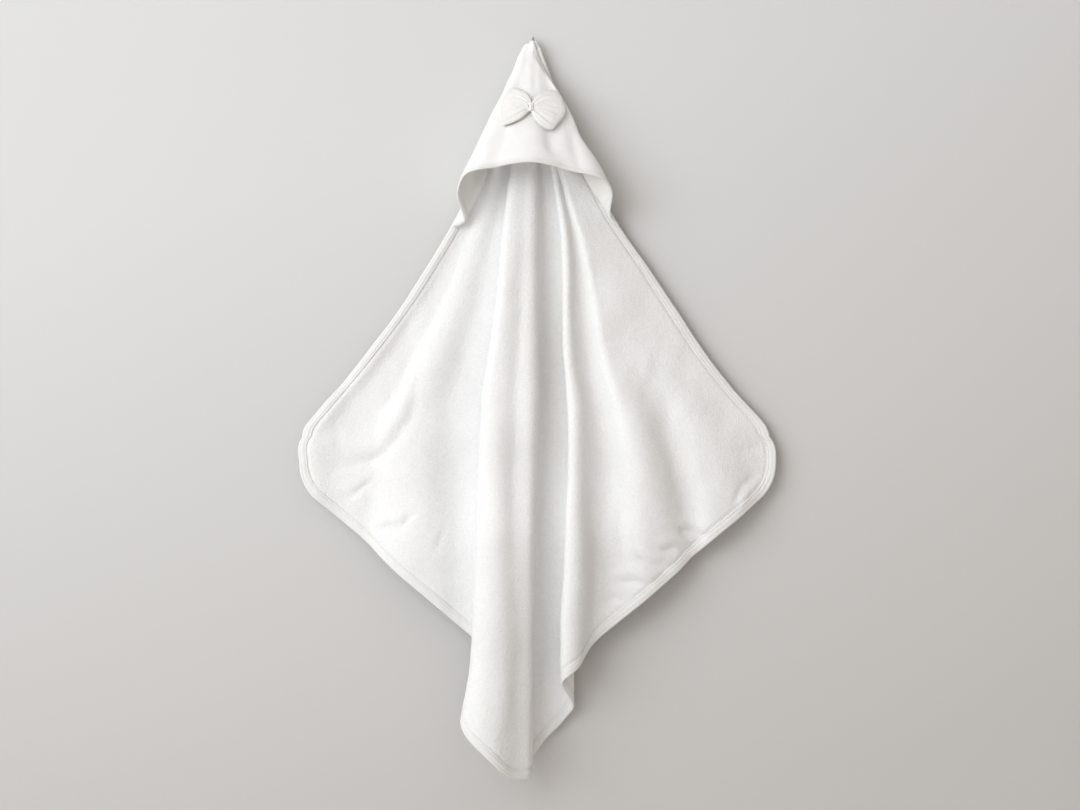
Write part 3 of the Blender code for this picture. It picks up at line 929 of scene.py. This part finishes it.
# Share from the top edge to the bottom edge of a wing, the direction of its end there below the
# level in degrees, and its length in metres.
LEFT_FAN = ((-1.0, -56, 0.0415), (-0.5, -34, 0.044), (0.0, -7, 0.0415), (0.5, 17, 0.043),
            (0.85, 31, 0.047), (1.0, 35, 0.045))
RIGHT_FAN = ((-1.0, -50, 0.0425), (-0.6, -38, 0.046), (-0.2, -15, 0.046), (0.1, 2, 0.0465),
             (0.6, 31, 0.0415), (0.85, 45, 0.0415), (1.0, 53, 0.038))
# Ripples across a wing: how many half waves, how high against the rest, and the phase.
WING_RIPPLES = ((3.1, 0.6, 0.4), (5.9, 0.8, 1.9), (9.7, 0.7, 0.8), (14.3, 0.4, 2.6))


def make_wing(name, node, body, side, fan, fall, seed, material):
    """A loop of gauze: out from the knot along the front, round its end and back behind."""
    around, across = 93, 61
    loop = np.linspace(-1, 1, around)[:, None] * np.ones((1, across))
    q = np.linspace(-1, 1, across)[None, :] * np.ones((around, 1))
    out = 1 - np.abs(loop)
    out = np.sin(out * math.pi / 2) ** 0.9
    reach = curve_through(tuple((p[0], p[2]) for p in fan), q)
    turn = np.radians(curve_through(tuple((p[0], p[1]) for p in fan), q))
    behind = loop > 0
    radius = 0.0035 + (reach * np.where(behind, 0.985, 1.0) - 0.0035) * out
    turn = turn * (1 + 0.75 * (1 - out))
    full = np.sin(np.clip(out, 0, 1) * math.pi) ** 0.7
    puff = (0.0019 + 0.0021 * full) * (1 - 0.25 * q**2 - 0.60 * q**8)
    end = np.sqrt(np.clip(1 - out**6, 0, 1))
    rise = np.where(behind, -0.0022 - 0.0010 * full, puff) * end
    waves = np.zeros_like(q)
    for count, size, phase in WING_RIPPLES:
        waves = waves + size * np.cos(count * math.pi * (q + 0.04 * np.sin(5 * out)) + phase + seed)
    grow = smooth_step(0.0, 0.20, out) * (1 - 0.75 * smooth_step(0.40, 1.0, out))
    ripple = 0.00062 * waves * grow * np.where(behind, 0.5, 1.0)
    cloth = np.stack([loop * 0.043, q * 0.033], -1)
    crinkle = value_noise(cloth, 0.0032, 20 + seed) * 0.00030
    crinkle = crinkle + value_noise(cloth, 0.0016, 30 + seed) * 0.00014
    height = rise + ripple + crinkle * smooth_step(0.0, 0.2, out) - fall * radius
    sag = 0.0012 * out**2 * np.where(behind, 1.0, 0.2)
    points = (BOW_CENTRE + BOW_OUT * (height + 0.0008)[..., None]
              + BOW_DOWN * (radius * np.sin(turn) + sag)[..., None]
              + np.array((side, 0.0, 0.0)) * (radius * np.cos(turn))[..., None])
    normals = grid_normals(points)
    half = np.full(q.shape, 0.00028)
    places = np.stack([loop * 0.043, q * 0.033, np.zeros_like(q)], -1)
    wing = thick_sheet(name, points, normals, half, half, material, places)
    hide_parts(node)
    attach(wing, body)


def make_knot(material, thread):
    """The band round the middle of the bow, and the four stitches that hold it to the hood."""
    around, count = 72, 33
    turn = np.linspace(0, 2 * math.pi, around, endpoint=False)[None, :]
    along = np.linspace(-1, 1, count)[:, None]
    waist = 1 - 0.20 * (1 - np.abs(along) ** 2)
    radius = 0.0044 * waist * np.sqrt(np.clip(1 - 0.55 * np.abs(along) ** 9, 0, 1))
    radius = radius + 0.00035 * np.cos(7 * turn + 1.3 * along) + 0.00018 * np.cos(13 * turn - 2.0 * along)
    points = (BOW_CENTRE + BOW_DOWN * (0.0062 * along * np.ones_like(turn))[..., None]
              + np.array((1.0, 0.0, 0.0)) * (radius * np.cos(turn))[..., None]
              + BOW_OUT * (radius * np.sin(turn) + 0.0006)[..., None])
    flat = np.stack([turn * 0.005 * np.ones_like(along), along * 0.0085 * np.ones_like(turn),
                     0 * turn * along], -1)
    knot = tube("bow_knot", points, material, flat)
    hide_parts("bow_centre_band")
    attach(knot, "hood")
    offsets = np.array(((-0.0016, -0.0024), (-0.0005, -0.0008), (0.0006, 0.0009), (0.0016, 0.0025)))
    start = BOW_CENTRE - BOW_OUT * 0.0056
    points = start + np.array((1.0, 0, 0)) * offsets[:, :1] + BOW_DOWN * offsets[:, 1:]
    forward = np.tile(unit(BOW_DOWN + np.array((0.6, 0, 0))), (4, 1))
    tack = stitches("bow_tack", points, forward, np.tile(-BOW_OUT, (4, 1)), 0.0034, 0.0004, thread)
    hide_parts("bow_tack_stitch")
    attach(tack, "hood")


# ---- Loop, nail and room

# Cross-section of the loop's tape, in halves of its thickness and of its width.
LOOP_SECTION = ((-1, -0.86), (-0.8, -1), (0.8, -1), (1, -0.86), (1, 0),
                (1, 0.86), (0.8, 1), (-0.8, 1), (-1, 0.86), (-1, 0))
# The nail from the wall outwards: y, z and radius.
NAIL_RINGS = ((0.0130, -0.0016, 0.0008), (0.002, -0.0008, 0.0008), (-0.0060, 0.0002, 0.0008),
              (-0.0062, 0.0002, 0.0014), (-0.0070, 0.0003, 0.0013))

WALL_Y = 0.012
FLOOR_Z = -1.9
ROOM_HALF = 4
ROOM_TOP = 3
ROOM_FRONT = -6

CAMERA_PLACE = (0.0097, -3.57, -0.513)
CAMERA_LENS = 85
SENSOR_WIDTH = 36


def make_hanging_loop(material):
    """A folded tape loop behind the peak, on the hanging point."""
    middle = 0.0035 + 0.00065
    legs = np.linspace(-0.0305, -0.0035, 24)
    arc = np.linspace(math.pi, 0, 25)[1:-1]
    x = np.concatenate([np.full(24, -middle), middle * np.cos(arc), np.full(24, middle)])
    z = np.concatenate([legs, middle * np.sin(arc) - 0.0035, legs[::-1]])
    line = np.stack([x, np.full_like(x, -0.0006), z], -1)
    tangent = unit(np.gradient(line, axis=0))
    inward = np.cross(tangent, np.array((0.0, 1.0, 0.0)))
    ring = []
    for depth, wide in LOOP_SECTION:
        ring.append(line + inward * (depth * 0.00060) + np.array((0.0, 1.0, 0.0)) * (wide * 0.0024))
    flat = np.stack([line[:, ::-1]] * len(LOOP_SECTION), 1)
    loop = tube("hanging_loop_tape", np.stack(ring, 1), material, flat)
    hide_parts("hanging_loop")
    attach(loop, "towel")


def make_nail():
    """A small dark nail in the wall, which holds the loop."""
    rings = []
    turn = np.linspace(0, 2 * math.pi, 16, endpoint=False)
    for y, z, radius in NAIL_RINGS:
        place = np.array((0.0, y, z))
        rings.append(place + np.stack([radius * np.cos(turn), np.zeros(16), radius * np.sin(turn)], -1))
    return tube("wall_nail", np.stack(rings), new_material("nail_steel", NAIL_COLOUR, 0.45, 0.0))


def wall_material():
    """Wall colour with painted light: lighter and cooler towards the upper left, darker and warmer towards
    the bottom, as the light falls off; clear from behind.
    """
    material = new_material("wall_painted_light", WALL_LIT_COLOUR, 0.9, 0.0)
    nodes = material.node_tree.nodes
    shader = nodes["Principled BSDF"]
    where = add(material, "ShaderNodeTexCoord")
    slope = add(material, "ShaderNodeVectorMath", operation="DOT_PRODUCT")
    slope.inputs[1].default_value = (-0.25, 0.0, 0.97)
    join(material, where.outputs["Object"], slope.inputs[0])
    # Painted light and shade: the colour goes from the painted shade at the bottom to the lit colour at the
    # upper left.
    height = ramp(material, slope.outputs["Value"], -1.10, -0.10, 0.0, 1.0)
    paint = mix_colours(material, height, WALL_SHADE_COLOUR, WALL_LIT_COLOUR)
    join(material, paint, shader.inputs["Base Color"])
    side = add(material, "ShaderNodeNewGeometry")
    clear = add(material, "ShaderNodeBsdfTransparent")
    mix = add(material, "ShaderNodeMixShader")
    join(material, side.outputs["Backfacing"], mix.inputs[0])
    join(material, shader.outputs[0], mix.inputs[1])
    join(material, clear.outputs[0], mix.inputs[2])
    join(material, mix.outputs[0], nodes["Material Output"].inputs["Surface"])
    return material


def make_room():
    """The wall, the floor and the nail, which are stage pieces."""
    left, right = (-ROOM_HALF, WALL_Y), (ROOM_HALF, WALL_Y)
    wall = [(*left, FLOOR_Z), (*right, FLOOR_Z), (*right, ROOM_TOP), (*left, ROOM_TOP)]
    floor = [(*left, FLOOR_Z), (*right, FLOOR_Z),
             (ROOM_HALF, ROOM_FRONT, FLOOR_Z), (-ROOM_HALF, ROOM_FRONT, FLOOR_Z)]
    wall = mesh_object("wall_backdrop", wall, [[0, 1, 2, 3]], wall_material())
    paint = new_material("floor_paint", FLOOR_COLOUR, 0.8, 0.0)
    floor = mesh_object("pale_floor", floor, [[3, 2, 1, 0]], paint)
    make_nail()


def make_world(scene):
    """Soft light all round, brighter and less warm from the upper left."""
    world = bpy.data.worlds.new("studio")
    world.use_nodes = True
    background = world.node_tree.nodes["Background"]
    sky = add(world, "ShaderNodeTexCoord")
    across = add(world, "ShaderNodeVectorMath", operation="DOT_PRODUCT")
    across.inputs[1].default_value = (-0.70, 0.0, 0.71)
    join(world, sky.outputs["Generated"], across.inputs[0])
    rise = ramp(world, across.outputs["Value"], -0.9, 0.9, 0.0, 1.0)
    join(world, ramp(world, rise, 0.0, 1.0, 0.31, 0.80), background.inputs["Strength"])
    tint = mix_colours(world, rise, WARM_LIGHT, PALE_LIGHT)
    join(world, tint, background.inputs["Color"])
    scene.world = world


def lamp_at(lamp, place, target):
    """Puts a lamp at a place, pointing at a target."""
    obj = place_object(lamp.name, lamp)
    obj.location = place
    obj.rotation_euler = (Vector(target) - Vector(place)).to_track_quat("-Z", "Y").to_euler()


def make_lights():
    """A wide soft window at the upper left, and a weak low fill in front."""
    key = bpy.data.lights.new("key_window", "AREA")
    key.shape = "RECTANGLE"
    key.size, key.size_y = 3.4, 2.6
    key.spread = 1.7
    key.energy = 35
    key.color = (0.90, 0.955, 1.0)
    lamp_at(key, (-2.4, -2.7, 0.80), (-0.40, 0.0, 0.05))
    fill = bpy.data.lights.new("fill", "AREA")
    fill.size = 2.2
    fill.energy = 18
    lamp_at(fill, (-0.6, -3.3, -1.7), (0.0, 0.0, -0.25))


def make_camera(scene):
    camera = bpy.data.cameras.new("photo_view")
    camera.lens = CAMERA_LENS
    camera.sensor_width = SENSOR_WIDTH
    scene.camera = place_object("photo_view", camera)
    scene.camera.location = CAMERA_PLACE
    scene.camera.rotation_euler = (math.pi / 2, 0, 0)


def main():
    scene = bpy.context.scene
    scene.view_settings.view_transform = "Standard"
    terry = terry_material()
    tape = weave_material("edge_tape_twill", TAPE_COLOUR, 0.00050, 0.00010, rough=0.8)
    cotton = weave_material("hood_muslin", HOOD_COLOUR, 0.00042, 0.00006)
    lining = weave_material("lining_muslin", LINING_COLOUR, 0.00050, 0.00008)
    gauze = weave_material("bow_gauze", GAUZE_COLOUR, 0.00060, 0.00018)
    thread = weave_material("sewing_thread", THREAD_COLOUR, 0.00030, 0.00005, sheen=0.3, rough=0.6)
    make_body(terry)
    make_edge_tape(tape, thread)
    make_hood(cotton, lining, tape, thread)
    make_wing("bow_loop_left", "bow_wing_left", "bow_left", -1, LEFT_FAN, 0.11, 1, gauze)
    make_wing("bow_loop_right", "bow_wing_right", "bow_right", 1, RIGHT_FAN, 0.19, 3, gauze)
    make_knot(gauze, thread)
    make_hanging_loop(tape)
    make_world(scene)
    make_room()
    make_lights()
    make_camera(scene)


main()
